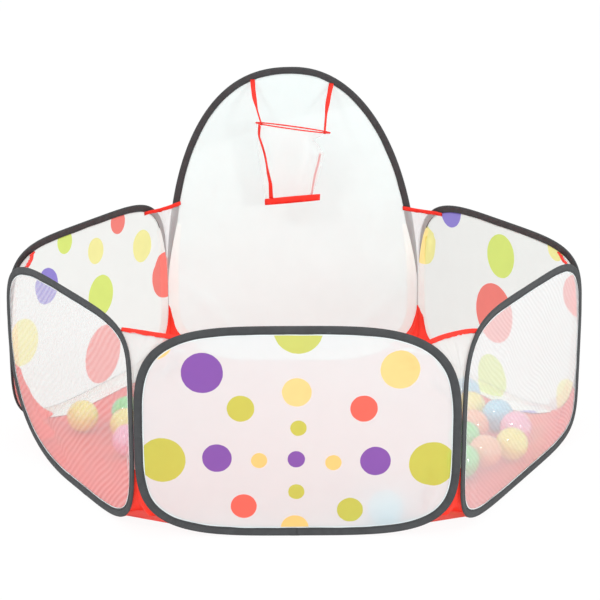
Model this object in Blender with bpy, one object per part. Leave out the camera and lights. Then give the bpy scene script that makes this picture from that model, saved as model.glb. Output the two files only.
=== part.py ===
"""Six-sided pop-up ball pit with an arched back panel, a small basketball hoop and loose play balls.

Metres, +Z up, front towards -Y. The origin is on the ground, below the middle of the pit.
Each panel is a sheet in an edging tape that holds a spring-steel wire hoop.
The panels fold at their corners.
"""
import math

import bmesh
import bpy
from mathutils import Matrix, Vector

# Plan of the pit, measured on the middle planes of the panels
SIDE_LENGTH = 0.600
HALF_CORNER = math.radians(120) / 2
APOTHEM = SIDE_LENGTH * math.sin(HALF_CORNER)

# Panel outlines. The tension of the cloth bends each hoop a little differently, so each has its own
# squareness at its upper right, upper left, lower left and lower right corner, as seen from outside,
# and its widest height.
PANEL_HEIGHT = 0.408
ARCH_HEIGHT = 0.703
PANEL_SQUARENESS = {
    "front": (3.5, 3.9, 3.8, 4.1),
    "front_right": (4.8, 4.7, 5.2, 5.2),
    "back_right": (3.6, 5.0, 3.7, 3.7),
    "back": (2.4, 2.1, 3.3, 3.3),
    "back_left": (5.0, 4.5, 3.7, 3.7),
    "front_left": (5.0, 3.7, 2.4, 5.4),
}
WIDEST_HEIGHT_SHARES = {
    "front": 0.47,
    "front_right": 0.39,
    "back_right": 0.55,
    "back": 0.21,
    "back_left": 0.43,
    "front_left": 0.62,
}
SIDE_STATIONS = 20
OUTLINE_SAMPLES = 720
TURN_SHARE = 0.6

# Edging tape, wire hoop and sheet
EDGING_WIDTH = 0.016
EDGING_THICKNESS = 0.006
EDGING_NOSE_THICKNESS = 0.003
WIRE_RADIUS = 0.0012
WIRE_SIDES = 6
SHEET_THICKNESS = 0.0006
LEAF_THICKNESS = 0.0005
GAP = 0.0003
FACE_SETBACK = GAP / 6
WIRE_DEPTH = EDGING_NOSE_THICKNESS + GAP
CHANNEL_RADIUS = WIRE_RADIUS + GAP / math.cos(math.radians(30))
SLOT_HALF = SHEET_THICKNESS / 2 + GAP
LEAF_HALF = SLOT_HALF + LEAF_THICKNESS

# Lap where the two ends of each edging tape join, counted in stations round the outline
LAP_LENGTH = 0.014
LAP_THICKNESS = 0.0005
LAP_STATIONS = {
    "front": 39,
    "front_right": 5,
    "back_right": 39,
    "back": 9,
    "back_left": 39,
    "front_left": 34,
}

# Seams between neighbouring panels
CORNER_INSET = EDGING_NOSE_THICKNESS / 2 / math.tan(HALF_CORNER) + GAP / 2 / math.sin(HALF_CORNER)
PANEL_HALF_WIDTH = SIDE_LENGTH / 2 - CORNER_INSET

# Gussets and floor
GUSSET_THICKNESS = 0.0008
UPPER_GUSSET_TOP = 0.380
GUSSET_SEAT = 0.0009
GUSSET_START = 0.0035
LOWER_GUSSET_TOP = 0.150
LOWER_GUSSET_FOLD_SHARE = 0.08
TWISTED_COLUMNS = 6
FOLDED_COLUMNS = 4
SEARCH_STEPS = 200
LEVEL_SPACING = 0.0012
BINDING_HEIGHT = 0.008
BINDING_WALL = 0.0005
BINDING_SLOT = BINDING_HEIGHT - BINDING_WALL
FLOOR_THICKNESS = 0.0010
FLOOR_CLEARANCE = 0.0005
FLOOR_CORNER_LEVEL = 0.0140
FLOOR_TOP = FLOOR_CLEARANCE + FLOOR_THICKNESS

# Basketball hoop
RIM_RADIUS = 0.0850
RIM_TUBE_RADIUS = 0.0026
RIM_SIDES = 8
RIM_HEIGHT = 0.578
RIM_FRONT_RISE = math.radians(9)
RIM_ROLL = math.radians(8)
NET_HEIGHT = 0.1565
NET_THICKNESS = 0.0008
NET_HEM_HALF_WIDTH = 0.0600
NET_HEM_HALF_DEPTH = 0.0200
NET_SEGMENTS = 36
NET_LEVELS = 5
NET_FOLDS = 6
NET_FOLD_DEPTH = 0.0022
HEM_HEIGHT = 0.0105
HEM_THICKNESS = 0.0016
STRAP_WIDTH = 0.0110
STRAP_THICKNESS = 0.0012
STRAP_TOP_HALF_SPAN = 0.0930
STRAP_TOP_MARGIN = 0.0052
STRAP_RIM_ANGLE = math.radians(24)
STRAP_TWIST = math.radians(70)
STRAP_STATIONS = 8
STRAP_SEAT = 0.0012
STRAP_RIM_LIFT = 0.0034

# Balls: each place is counted in ball diameters, across and along, from the corner or the panel
# that it is near
BALL_DIAMETER = 0.068
BALL_SEAT = 0.0003
BALL_SEGMENTS = 12
BALL_RINGS = 9
BALL_PLACE_SHARES = {
    "ball_left_yellow": ("left", 2.15, 0.31),
    "ball_left_green": ("left", 3.51, 0.68),
    "ball_left_lemon": ("left", 3.56, -0.41),
    "ball_left_pink": ("left", 3.75, -1.79),
    "ball_right_lemon": ("right", -3.23, 1.00),
    "ball_right_blue": ("right", -2.44, 0.26),
    "ball_right_orange": ("right", -3.31, -0.68),
    "ball_right_pink": ("right", -2.00, -0.84),
    "ball_right_green": ("right", -3.68, -1.65),
    "ball_right_yellow": ("right", -2.31, -2.24),
    "ball_right_apricot": ("right", -3.18, -2.83),
    "ball_right_mint": ("right", -3.92, -3.56),
    "ball_right_sky": ("right", -3.25, 2.35),
    "ball_front_sky": ("front", 2.43, 0.66),
}

# Shading
SHARP_ANGLE = math.radians(35)
CLOTH_ROUGHNESS = 0.65
STEEL_ROUGHNESS = 0.3
BALL_ROUGHNESS = 0.15
CHARCOAL = (0.055, 0.06, 0.065)
WHITE_CLOTH = (0.88, 0.87, 0.88)
MESH_WHITE = (0.80, 0.80, 0.80)
RED_CLOTH = (0.85, 0.07, 0.04)
STEEL = (0.45, 0.46, 0.48)
BALL_COLOURS = {
    "yellow": (0.95, 0.72, 0.15),
    "lemon": (0.95, 0.80, 0.22),
    "green": (0.20, 0.70, 0.25),
    "mint": (0.25, 0.75, 0.33),
    "pink": (0.95, 0.32, 0.55),
    "blue": (0.25, 0.55, 0.90),
    "sky": (0.30, 0.62, 0.92),
    "orange": (0.95, 0.42, 0.22),
    "apricot": (0.95, 0.48, 0.30),
}

# Panel names with the direction that each one faces, in degrees
PANELS = {
    "front": -90,
    "front_right": -30,
    "back_right": 30,
    "back": 90,
    "back_left": 150,
    "front_left": -150,
}
MESH_PANELS = ("front_left", "front_right")

# Corners: the panel before and after each one, counted anticlockwise as seen from above,
# and its direction
CORNERS = {
    "front_right": ("front", "front_right", -60),
    "right": ("front_right", "back_right", 0),
    "back_right": ("back_right", "back", 60),
    "back_left": ("back", "back_left", 120),
    "left": ("back_left", "front_left", 180),
    "front_left": ("front_left", "front", -120),
}
CLOSING_CORNERS = ("right", "back_left", "front_left")

# The corner on which each panel turns, and None for the panel that the others hang on
PANEL_HINGES = {
    "back": None,
    "back_right": "back_right",
    "front_right": "right",
    "front": "front_right",
    "back_left": "back_left",
    "front_left": "left",
}


def clear_scene():
    for item in list(bpy.data.objects):
        bpy.data.objects.remove(item, do_unlink=True)


def make_material(name, colour, roughness, metallic=0.0):
    material = bpy.data.materials.new(name)
    material.use_nodes = True
    shader = material.node_tree.nodes["Principled BSDF"]
    shader.inputs["Base Color"].default_value = (*colour, 1.0)
    shader.inputs["Roughness"].default_value = roughness
    shader.inputs["Metallic"].default_value = metallic
    material.diffuse_color = (*colour, 1.0)
    return material


def add_object(name, mesh, material, parent=None, location=(0, 0, 0), turn=0.0):
    item = bpy.data.objects.new(name, mesh)
    bpy.context.scene.collection.objects.link(item)
    item.parent = parent
    item.location = location
    item.rotation_euler = (0, 0, turn)
    item.data.materials.append(material)
    return item


def add_empty(name, location, turn=0.0):
    item = bpy.data.objects.new(name, None)
    bpy.context.scene.collection.objects.link(item)
    item.location = location
    item.rotation_euler = (0, 0, turn)
    return item


def mesh_from(name, points, faces, smooth=True):
    mesh = bpy.data.meshes.new(name)
    mesh.from_pydata([tuple(point) for point in points], [], faces)
    edit = bmesh.new()
    edit.from_mesh(mesh)
    bmesh.ops.recalc_face_normals(edit, faces=edit.faces)
    edit.to_mesh(mesh)
    edit.free()
    if smooth:
        mesh.shade_smooth()
        mesh.set_sharp_from_angle(angle=SHARP_ANGLE)
    return mesh


def loft(name, rings, closed_length=False, smooth=True):
    """Skins a row of point rings. A closed length joins the last to the first, an open one gets caps."""
    count = len(rings[0])
    points = [point for ring in rings for point in ring]
    faces = []
    steps = len(rings) if closed_length else len(rings) - 1
    for i in range(steps):
        a = i * count
        b = ((i + 1) % len(rings)) * count
        for j in range(count):
            k = (j + 1) % count
            faces.append((a + j, a + k, b + k, b + j))
    if not closed_length:
        faces.append(tuple(range(count - 1, -1, -1)))
        last = (len(rings) - 1) * count
        faces.append(tuple(last + j for j in range(count)))
    return mesh_from(name, points, faces, smooth)


# Outlines

def power(value, exponent):
    return math.copysign(abs(value) ** exponent, value)


def panel_height(panel):
    return ARCH_HEIGHT if panel == "back" else PANEL_HEIGHT


def widest_height(panel):
    return panel_height(panel) * WIDEST_HEIGHT_SHARES[panel]


def outline_curve(panel, top_squareness, bottom_squareness):
    """Fine points up the right-hand side of a rounded outline, from its foot to its top."""
    widest = widest_height(panel)
    points = []
    for i in range(OUTLINE_SAMPLES + 1):
        angle = math.pi * (i / OUTLINE_SAMPLES - 0.5)
        upper = angle >= 0
        exponent = 2 / (top_squareness if upper else bottom_squareness)
        reach = panel_height(panel) - widest if upper else widest
        across = PANEL_HALF_WIDTH * power(math.cos(angle), exponent)
        points.append(Vector((across, widest + reach * power(math.sin(angle), exponent))))
    return points


def pick_stations(side):
    """Picks stations along one side's points, closer together where it turns."""
    lengths = [(b - a).length for a, b in zip(side, side[1:])]
    turns = [abs((b - a).angle_signed(c - b)) for a, b, c in zip(side, side[1:], side[2:])] + [0.0]
    length_sum = sum(lengths)
    turn_sum = sum(turns)
    stations = []
    reached = 0.0
    target = 0.5 / SIDE_STATIONS
    for i, length in enumerate(lengths):
        weight = (1 - TURN_SHARE) * length / length_sum + TURN_SHARE * turns[i] / turn_sum
        if reached + weight >= target and len(stations) < SIDE_STATIONS:
            stations.append(side[i].lerp(side[i + 1], (target - reached) / weight))
            target += 1 / SIDE_STATIONS
        reached += weight
    return stations


def panel_outline(panel):
    """Stations anticlockwise from the foot of the right-hand side."""
    top_right, top_left, bottom_left, bottom_right = PANEL_SQUARENESS[panel]
    right = pick_stations(outline_curve(panel, top_right, bottom_right))
    left = pick_stations(outline_curve(panel, top_left, bottom_left))
    return right + [Vector((-point.x, point.y)) for point in reversed(left)]


def inward_normals(stations):
    """Unit directions into the outline at each station, halfway between its two edges."""
    normals = []
    for i, point in enumerate(stations):
        along = stations[(i + 1) % len(stations)] - stations[i - 1]
        normals.append(Vector((-along.y, along.x)).normalized())
    return normals


OUTLINES = {name: panel_outline(name) for name in PANELS}


def inset_at(panel, side, height, seat):
    """How far the panel's right (1) or left (-1) edge lies from its corner, a seat's width outside it."""
    stations = OUTLINES[panel]
    outside = [point - normal * seat for point, normal in zip(stations, inward_normals(stations))]
    across = 0.0
    for start, end in zip(outside, outside[1:] + outside[:1]):
        low, high = sorted((start.y, end.y))
        if low <= height <= high and low < high:
            reach = start.x + (end.x - start.x) * (height - start.y) / (end.y - start.y)
            across = max(across, side * reach)
    return SIDE_LENGTH / 2 - across


# Panels

def edging_section(lap=0.0):
    """Section of the edging tape: depth in from the panel's edge, and height off its middle plane."""
    full = EDGING_THICKNESS / 2 - FACE_SETBACK + lap
    nose = EDGING_NOSE_THICKNESS / 2
    outer = [(EDGING_WIDTH, LEAF_HALF + lap), (WIRE_DEPTH + CHANNEL_RADIUS / 2, full), (0.0, nose)]
    flat = CHANNEL_RADIUS * math.cos(math.radians(30))
    neck = WIRE_DEPTH + CHANNEL_RADIUS - SLOT_HALF * math.tan(math.radians(30))
    inner = [(EDGING_WIDTH, SLOT_HALF), (neck, SLOT_HALF),
             (WIRE_DEPTH + CHANNEL_RADIUS / 2, flat), (WIRE_DEPTH - CHANNEL_RADIUS / 2, flat)]
    section = outer + [(depth, -height) for depth, height in reversed(outer)]
    section += [(depth, -height) for depth, height in inner]
    section += [(WIRE_DEPTH - CHANNEL_RADIUS, 0.0)]
    section += [(depth, height) for depth, height in reversed(inner)]
    return section


def section_ring(point, normal, section):
    """A section, given as depth and height pairs, stood across the outline at a point."""
    x, y = normal
    return [(point.x + x * depth, height, point.y + y * depth) for depth, height in section]


def lap_rings(start, end):
    """Rings between two stations, with their normals, where the tape's lap steps up and down again."""
    length = (end[0] - start[0]).length
    half = LAP_LENGTH / 2 / length
    step = LAP_THICKNESS / length
    rings = []
    for share, lap in ((0.5 - half - step, 0), (0.5 - half, LAP_THICKNESS),
                       (0.5 + half, LAP_THICKNESS), (0.5 + half + step, 0)):
        point = start[0].lerp(end[0], share)
        normal = start[1].lerp(end[1], share).normalized()
        rings.append(section_ring(point, normal, edging_section(lap)))
    return rings


def edging_mesh(name, panel):
    stations = list(zip(OUTLINES[panel], inward_normals(OUTLINES[panel])))
    section = edging_section()
    rings = []
    for i, (point, normal) in enumerate(stations):
        rings.append(section_ring(point, normal, section))
        if i == LAP_STATIONS[panel]:
            rings += lap_rings(stations[i], stations[(i + 1) % len(stations)])
    return loft(name, rings, closed_length=True)


def wire_mesh(name, panel):
    stations = OUTLINES[panel]
    section = wire_section()
    normals = inward_normals(stations)
    rings = [section_ring(point, normal, section) for point, normal in zip(stations, normals)]
    return loft(name, rings, closed_length=True)


def wire_section():
    section = []
    for i in range(WIRE_SIDES):
        angle = 2 * math.pi * i / WIRE_SIDES
        section.append((WIRE_DEPTH + WIRE_RADIUS * math.cos(angle), WIRE_RADIUS * math.sin(angle)))
    return section


def sheet_mesh(name, stations):
    """A flat sheet whose edge lies in the slot of the edging tape."""
    depth = WIRE_DEPTH + CHANNEL_RADIUS + GAP
    edge = [point + normal * depth for point, normal in zip(stations, inward_normals(stations))]
    half = SHEET_THICKNESS / 2
    rings = [[(point.x, side * half, point.y) for point in edge] for side in (-1, 1)]
    return loft(name, rings, smooth=False)


def direction(degrees):
    return Vector((math.cos(math.radians(degrees)), math.sin(math.radians(degrees)), 0))


def corner_point(corner):
    return direction(CORNERS[corner][2]) * SIDE_LENGTH


def hinge_point(corner):
    """A corner that closes turns on its inner faces, and one that opens turns on the middle planes."""
    point = corner_point(corner)
    if corner in CLOSING_CORNERS:
        inward = EDGING_THICKNESS / 2 / math.sin(HALF_CORNER)
        point -= direction(CORNERS[corner][2]) * inward
    return point


def build_panels(materials):
    for name, facing in PANELS.items():
        middle = direction(facing) * APOTHEM
        turn = math.radians(facing + 90)
        hinge = PANEL_HINGES[name]
        origin = hinge_point(hinge) if hinge else Vector((0, 0, 0))
        axis = add_empty(f"axis_{name}", origin, turn)
        offset = Matrix.Rotation(-turn, 4, "Z") @ (middle - origin)
        stations = OUTLINES[name]
        cloth = materials["mesh_cloth" if name in MESH_PANELS else "white_cloth"]
        sheet, edging, wire = [f"{name}_{piece}" for piece in ("sheet", "edging", "wire")]
        add_object(sheet, sheet_mesh(sheet, stations), cloth, axis, offset)
        add_object(edging, edging_mesh(edging, name), materials["edging"], axis, offset)
        add_object(wire, wire_mesh(wire, name), materials["spring_steel"], axis, offset)


# Gussets and floor

def corner_edges(corner, height, seat):
    """The points at a height on both panels' edges, a seat's width clear of the edging tapes."""
    before, after, degrees = CORNERS[corner]
    edges = []
    for panel, sign in ((before, -1), (after, 1)):
        along = direction(degrees + sign * (180 - math.degrees(HALF_CORNER)))
        reach = inset_at(panel, -sign, max(height, FLOOR_CORNER_LEVEL), seat)
        edges.append(corner_point(corner) + along * reach + Vector((0, 0, height)))
    return edges


def corner_levels(corner, low, high):
    """Heights of the stations on both sides of a corner between two heights, and the two themselves."""
    levels = [low]
    sides = zip(CORNERS[corner][:2], (1, -1))
    heights = [point.y for panel, side in sides for point in OUTLINES[panel] if point.x * side > 0]
    for level in sorted(heights):
        if levels[-1] + LEVEL_SPACING < level < high - LEVEL_SPACING:
            levels.append(level)
    return levels + [high]


def sewn_height(corner, start, end):
    """The first height on the way from start to end where the gusset is too narrow to sew."""
    for i in range(SEARCH_STEPS):
        height = start + (end - start) * i / SEARCH_STEPS
        before, after = corner_edges(corner, height, GUSSET_SEAT)
        if (after - before).length < GUSSET_START:
            return height
    return end


def gusset_rings(corner, levels, columns, fold_share):
    """Closed rings of points across the gusset at each level: along its outer face, back along its inner."""
    outward = direction(CORNERS[corner][2])
    half = outward * GUSSET_THICKNESS / 2
    rings = []
    for level in levels:
        before, after = corner_edges(corner, level, GUSSET_SEAT)
        fold = outward * (after - before).length * fold_share
        across = []
        for i in range(columns + 1):
            share = i / columns
            across.append(before.lerp(after, share) - fold * 4 * share * (1 - share))
        rings.append([point + half for point in across] + [point - half for point in reversed(across)])
    return rings


def build_upper_gusset(corner, materials):
    widest = max(widest_height(panel) for panel in CORNERS[corner][:2])
    start = sewn_height(corner, UPPER_GUSSET_TOP, widest)
    hidden = UPPER_GUSSET_TOP - BINDING_SLOT - 2 * GAP
    levels = corner_levels(corner, start, hidden) + [UPPER_GUSSET_TOP]
    mesh = loft(f"gusset_{corner}_upper", gusset_rings(corner, levels, TWISTED_COLUMNS, 0.0))
    add_object(f"gusset_{corner}_upper", mesh, materials["mesh_cloth"])
    build_binding(corner, hidden, materials)


def build_binding(corner, hidden, materials):
    """A folded tape along the top edge of the gusset, in line with the cloth that it holds."""
    half = GUSSET_THICKNESS / 2 + GAP + BINDING_WALL
    trim_length = half + GAP
    slot_half = GUSSET_THICKNESS / 2 + GAP
    crest = GAP + BINDING_WALL
    outside = [(half, -BINDING_SLOT), (half, crest), (-half, crest), (-half, -BINDING_SLOT)]
    slot = [(-slot_half, -BINDING_SLOT), (-slot_half, GAP), (slot_half, GAP), (slot_half, -BINDING_SLOT)]
    section = outside + slot
    low = corner_edges(corner, hidden, GUSSET_SEAT)
    high = corner_edges(corner, UPPER_GUSSET_TOP, GUSSET_SEAT)
    chord = (high[1] - high[0]).normalized()
    rings = []
    for side, trim in ((0, trim_length), (1, -trim_length)):
        rise = high[side] - low[side]
        across = chord.cross(rise).normalized()
        rise /= rise.dot(across.cross(chord))
        end = high[side] + chord * trim
        rings.append([end + rise * along + across * offset for offset, along in section])
    shares = [i / TWISTED_COLUMNS for i in range(TWISTED_COLUMNS + 1)]
    between = [[start.lerp(end, share) for start, end in zip(*rings)] for share in shares]
    mesh = loft(f"binding_{corner}", between)
    add_object(f"binding_{corner}", mesh, materials["red_cloth"])


def build_lower_gusset(corner, materials):
    foot = FLOOR_TOP + GAP
    widest = min(widest_height(panel) for panel in CORNERS[corner][:2])
    top = min(sewn_height(corner, FLOOR_CORNER_LEVEL, widest), LOWER_GUSSET_TOP)
    levels = [foot] + corner_levels(corner, FLOOR_CORNER_LEVEL, top)
    rings = gusset_rings(corner, levels, FOLDED_COLUMNS, LOWER_GUSSET_FOLD_SHARE)
    mesh = loft(f"gusset_{corner}_lower", rings)
    add_object(f"gusset_{corner}_lower", mesh, materials["red_cloth"])


def build_floor(materials):
    """One sheet that runs from panel to panel, its corners cut along the feet of the lower gussets."""
    nose = EDGING_NOSE_THICKNESS / 2
    full = EDGING_THICKNESS / 2
    beside = nose + (full - nose) * FLOOR_TOP / WIRE_DEPTH + GAP
    ring = []
    for corner, (before, after, degrees) in CORNERS.items():
        edges = corner_edges(corner, 0.0, GUSSET_SEAT)
        for panel, edge in zip((before, after), edges):
            ring.append(edge - direction(PANELS[panel]) * beside)
    faces = (FLOOR_CLEARANCE, FLOOR_TOP)
    rings = [[point + Vector((0, 0, height)) for point in ring] for height in faces]
    add_object("floor_sheet", loft("floor_sheet", rings, smooth=False), materials["red_cloth"])


# Basketball hoop

def hoop_frame():
    """The hoop's own axes: origin at the middle of the rim, tilted up at the front and rolled to one side."""
    tilt = Matrix.Rotation(-RIM_FRONT_RISE, 4, "X")
    roll = Matrix.Rotation(RIM_ROLL, 4, "Y")
    turn = roll @ tilt
    back = turn @ Vector((0, RIM_RADIUS, 0))
    arch_face = APOTHEM - SHEET_THICKNESS / 2
    centre = Vector((0, arch_face - GAP - RIM_TUBE_RADIUS - back.y, RIM_HEIGHT))
    return centre, turn, back


def build_rim(axis, materials):
    turn, back = hoop_frame()[1:]
    bpy.ops.mesh.primitive_torus_add(major_radius=RIM_RADIUS, minor_radius=RIM_TUBE_RADIUS,
                                     major_segments=NET_SEGMENTS, minor_segments=RIM_SIDES)
    rim = bpy.context.object
    rim.name = "hoop_rim"
    rim.data.transform(Matrix.Rotation(math.pi / NET_SEGMENTS, 4, "Z"))
    rim.data.shade_smooth()
    rim.data.materials.append(materials["red_cloth"])
    rim.parent = axis
    rim.location = -back
    rim.rotation_euler = turn.to_euler()


def net_ring(share, outward, drop):
    """One level of the net: a circle at the rim that flattens into a long oval at the hem."""
    turn, back = hoop_frame()[1:]
    points = []
    for i in range(NET_SEGMENTS):
        angle = 2 * math.pi * (i + 0.5) / NET_SEGMENTS
        fold = NET_FOLD_DEPTH * math.sin(math.pi * share) * math.cos(NET_FOLDS * angle)
        at_rim = turn @ (Vector((math.cos(angle), math.sin(angle), 0)) * (RIM_RADIUS + outward))
        at_rim -= Vector((0, 0, RIM_TUBE_RADIUS + GAP))
        hem = Vector(((NET_HEM_HALF_WIDTH + outward) * math.cos(angle),
                      (NET_HEM_HALF_DEPTH + outward) * math.sin(angle), -drop))
        point = at_rim.lerp(hem, share) - back
        point += Vector((math.cos(angle), math.sin(angle), 0)) * fold
        points.append(point)
    return points


def shell(name, outer, inner):
    """A sleeve of rings, open at both ends: down the outside, up the inside."""
    return loft(name, outer + list(reversed(inner)), closed_length=True)


def build_net(axis, materials):
    half = NET_THICKNESS / 2
    shares = [i / (NET_LEVELS - 1) for i in range(NET_LEVELS)]
    outer = [net_ring(share, half, NET_HEIGHT) for share in shares]
    inner = [net_ring(share, -half, NET_HEIGHT) for share in shares]
    add_object("hoop_net", shell("hoop_net", outer, inner), materials["mesh_cloth"], axis)
    half = HEM_THICKNESS / 2
    top = NET_HEIGHT + GAP
    outer = [net_ring(1.0, half, top), net_ring(1.0, half, top + HEM_HEIGHT)]
    inner = [net_ring(1.0, -half, top), net_ring(1.0, -half, top + HEM_HEIGHT)]
    add_object("hoop_hem", shell("hoop_hem", outer, inner), materials["red_cloth"], axis)


def arch_height_at(side, across):
    """Height of the arch's outline at a distance from its middle, on the left (-1) or the right (1)."""
    squareness = PANEL_SQUARENESS["back"][0 if side < 0 else 1]
    widest = widest_height("back")
    share = (across / PANEL_HALF_WIDTH) ** squareness
    return widest + (ARCH_HEIGHT - widest) * (1 - share) ** (1 / squareness)


def build_strap(name, side, materials):
    """A twisted tape from the arch's edging down to the rim."""
    centre, turn = hoop_frame()[:2]
    sheet_face = APOTHEM - SHEET_THICKNESS / 2
    top = arch_height_at(side, STRAP_TOP_HALF_SPAN) - EDGING_WIDTH - STRAP_TOP_MARGIN
    start = Vector((side * STRAP_TOP_HALF_SPAN, sheet_face - STRAP_SEAT, top))
    spot = Vector((side * math.cos(STRAP_RIM_ANGLE), -math.sin(STRAP_RIM_ANGLE), 0)) * RIM_RADIUS
    end = centre + turn @ spot + Vector((0, 0, RIM_TUBE_RADIUS + STRAP_RIM_LIFT))
    run = end - start
    along = run.normalized()
    wide = Vector((1, 0, 0))
    wide -= along * wide.dot(along)
    wide.normalize()
    rings = []
    for i in range(STRAP_STATIONS):
        share = i / (STRAP_STATIONS - 1)
        twist = side * STRAP_TWIST * math.sin(math.pi * share)
        across = Matrix.Rotation(twist, 4, along) @ wide * STRAP_WIDTH / 2
        thick = along.cross(across).normalized() * STRAP_THICKNESS / 2
        point = start + run * share
        left = point - across
        right = point + across
        rings.append([left - thick, right - thick, right + thick, left + thick])
    add_object(name, loft(name, rings), materials["red_cloth"])


def build_hoop(materials):
    centre, turn, back = hoop_frame()
    axis = add_empty("axis_hoop", centre + back)
    build_rim(axis, materials)
    build_net(axis, materials)
    build_strap("strap_left", -1, materials)
    build_strap("strap_right", 1, materials)


# Balls

def ball_place(near, across, along):
    anchors = {
        "left": corner_point("left"),
        "right": corner_point("right"),
        "front": direction(PANELS["front"]) * APOTHEM,
    }
    return anchors[near] + Vector((across, along, 0)) * BALL_DIAMETER


def build_balls(materials):
    edit = bmesh.new()
    radius = BALL_DIAMETER / 2
    bmesh.ops.create_uvsphere(edit, u_segments=BALL_SEGMENTS, v_segments=BALL_RINGS, radius=radius)
    mesh = bpy.data.meshes.new("ball")
    edit.to_mesh(mesh)
    edit.free()
    mesh.shade_smooth()
    for name, (near, across, along) in BALL_PLACE_SHARES.items():
        place = ball_place(near, across, along)
        place.z = FLOOR_TOP + BALL_SEAT + BALL_DIAMETER / 2
        ball = add_object(name, mesh.copy(), materials[name.split("_")[-1]])
        ball.location = place
    bpy.data.meshes.remove(mesh)


def make_materials():
    materials = {
        "edging": make_material("edging", CHARCOAL, CLOTH_ROUGHNESS),
        "white_cloth": make_material("white_cloth", WHITE_CLOTH, CLOTH_ROUGHNESS),
        "mesh_cloth": make_material("mesh_cloth", MESH_WHITE, CLOTH_ROUGHNESS),
        "red_cloth": make_material("red_cloth", RED_CLOTH, CLOTH_ROUGHNESS),
        "spring_steel": make_material("spring_steel", STEEL, STEEL_ROUGHNESS, 1.0),
    }
    for name, colour in BALL_COLOURS.items():
        materials[name] = make_material(name, colour, BALL_ROUGHNESS)
    return materials


def main():
    clear_scene()
    materials = make_materials()
    build_panels(materials)
    for corner in CORNERS:
        build_upper_gusset(corner, materials)
        build_lower_gusset(corner, materials)
    build_floor(materials)
    build_hoop(materials)
    build_balls(materials)


main()
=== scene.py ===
"""Looks of the six-sided pop-up ball pit: cloth, mesh, tapes, stitching, balls, camera and light.

Metres, +Z up, front towards -Y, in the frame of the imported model. A panel's own frame has x across it, seen from
outside, y inwards and z up, with its origin on the ground below the panel's middle.
"""
import math
import random
from collections import namedtuple

import bmesh
import bpy
import numpy as np
from mathutils import Matrix, Vector, noise


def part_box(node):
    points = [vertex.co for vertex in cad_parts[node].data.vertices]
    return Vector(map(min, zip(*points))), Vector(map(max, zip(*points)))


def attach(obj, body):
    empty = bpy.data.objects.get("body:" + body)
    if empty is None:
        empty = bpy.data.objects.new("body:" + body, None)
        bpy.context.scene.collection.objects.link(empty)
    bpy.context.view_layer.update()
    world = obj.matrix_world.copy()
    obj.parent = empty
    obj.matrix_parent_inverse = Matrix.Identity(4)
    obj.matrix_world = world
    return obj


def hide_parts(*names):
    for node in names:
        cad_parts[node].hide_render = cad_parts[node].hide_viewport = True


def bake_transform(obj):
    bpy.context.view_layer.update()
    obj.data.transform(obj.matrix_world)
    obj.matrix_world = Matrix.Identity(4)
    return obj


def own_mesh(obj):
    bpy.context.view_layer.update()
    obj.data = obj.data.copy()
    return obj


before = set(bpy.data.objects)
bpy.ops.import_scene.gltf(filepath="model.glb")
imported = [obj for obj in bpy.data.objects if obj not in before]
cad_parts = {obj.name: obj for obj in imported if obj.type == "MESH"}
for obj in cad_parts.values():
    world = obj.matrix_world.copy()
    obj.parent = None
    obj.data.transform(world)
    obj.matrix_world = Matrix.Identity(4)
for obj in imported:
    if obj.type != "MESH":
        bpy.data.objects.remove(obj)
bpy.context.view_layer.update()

# Plan of the pit, as in the part
SIDE_LENGTH = 0.6
APOTHEM = SIDE_LENGTH * math.sin(math.radians(60))
PANEL_HALF_WIDTH = 0.29896
PANEL_HEIGHT = 0.408
ARCH_HEIGHT = 0.703

# Each panel: the way it faces, its corners' squareness anticlockwise from the top right one, the share of its height
# where it is widest, how far its cloth bellies inwards, and where the ends of its tape overlap
Panel = namedtuple("Panel", "facing squareness widest_share belly lap_place")
PANELS = {
    "front": Panel(-90, (3.5, 3.9, 3.8, 4.1), 0.47, -0.004, (-0.0055, 0.0)),
    "front_right": Panel(-30, (4.8, 4.7, 5.2, 5.2), 0.39, 0.004, (-0.112, 0.01)),
    "back_right": Panel(30, (3.6, 5.0, 3.7, 3.7), 0.55, 0.004, (0.0, 0.0)),
    "back": Panel(90, (2.4, 2.1, 3.3, 3.3), 0.21, 0.006, (0.262, 0.437)),
    "back_left": Panel(150, (5.0, 4.5, 3.7, 3.7), 0.43, 0.004, (0.0, 0.0)),
    "front_left": Panel(-150, (5.0, 3.7, 2.4, 5.4), 0.62, 0.004, (0.071, 0.0)),
}
MESH_PANELS = ("front_left", "front_right")
DOTTED_PANELS = ("front", "back_left", "back_right")

# Each corner: its panels, its direction, the height where its red cloth ends, the outline heights at which its sheer
# cloth ends beside both panels, how far its binding sags, and the steps left off at both ends of the binding
Corner = namedtuple("Corner", "before after degrees change tops sag skipped")
CORNERS = {
    "front_right": Corner("front", "front_right", -60, 0.130, (0.379, 0.387), -0.005, (0, 0)),
    "right": Corner("front_right", "back_right", 0, 0.100, (0.396, 0.399), 0.001, (4, 0)),
    "back_right": Corner("back_right", "back", 60, 0.130, (0.391, 0.376), 0.001, (0, 0)),
    "back_left": Corner("back", "back_left", 120, 0.134, (0.389, 0.395), 0.003, (0, 0)),
    "left": Corner("back_left", "front_left", 180, 0.165, (0.400, 0.3995), 0.001, (0, 4)),
    "front_left": Corner("front_left", "front", -120, 0.130, (0.3945, 0.392), 0.0, (2, 2)),
}
OPEN_CORNER = "front_left"

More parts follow.
